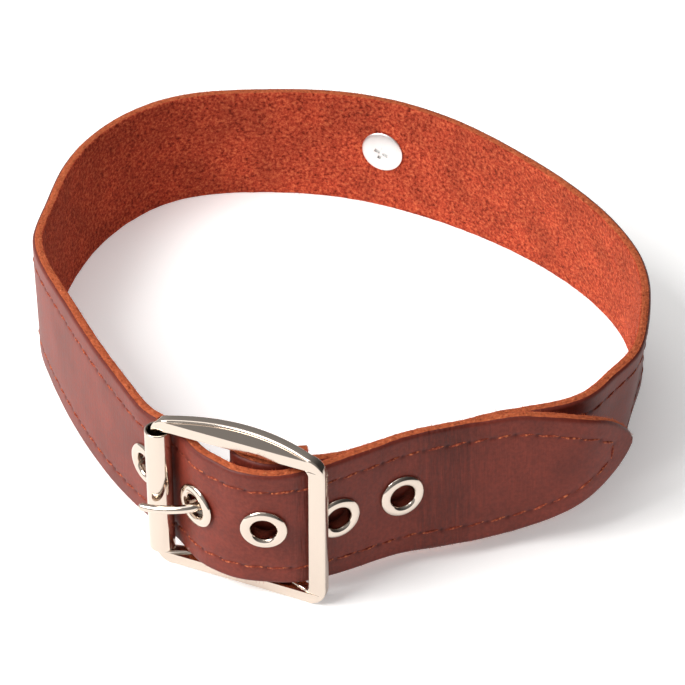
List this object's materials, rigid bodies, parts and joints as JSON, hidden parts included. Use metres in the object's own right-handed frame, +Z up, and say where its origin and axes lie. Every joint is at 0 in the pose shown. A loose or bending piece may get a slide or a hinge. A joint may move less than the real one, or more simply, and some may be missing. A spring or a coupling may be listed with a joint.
{
  "type": "leather dog collar",
  "caption": "Leather dog collar buckled into a loop and standing on its edge, with a centre-bar roller buckle, prong, nickel eyelets and a cross-slotted screw stud.",
  "frame": {"origin": "middle of the collar's box, on the surface that it stands on", "axes": "+Z up through the neck opening, +Y away from the buckle, +X to the right as seen from the buckle"},
  "size_m": [0.1618, 0.1818, 0.045],
  "materials": {
    "leather": "red-brown full-grain outside, suede inside, raw edges",
    "nickel": "polished nickel plate",
    "screw_steel": "bright zinc-plated steel"
  },
  "bodies": {
    "collar": {"strap": "leather", "buckle_frame": "nickel", "prong": "nickel", "eyelet_1": "nickel", "eyelet_2": "nickel", "eyelet_3": "nickel", "eyelet_4": "nickel", "eyelet_5": "nickel", "screw": "screw_steel", "screw_post": "nickel"},
    "roller": {"roller": "nickel"}
  },
  "joints": [
    {"name": "roller_spin", "type": "hinge", "parent": "collar", "child": "roller", "pos_m": [-0.04365, -0.0721, 0.0225], "axis": [0, 0, 1], "continuous": true}
  ]
}
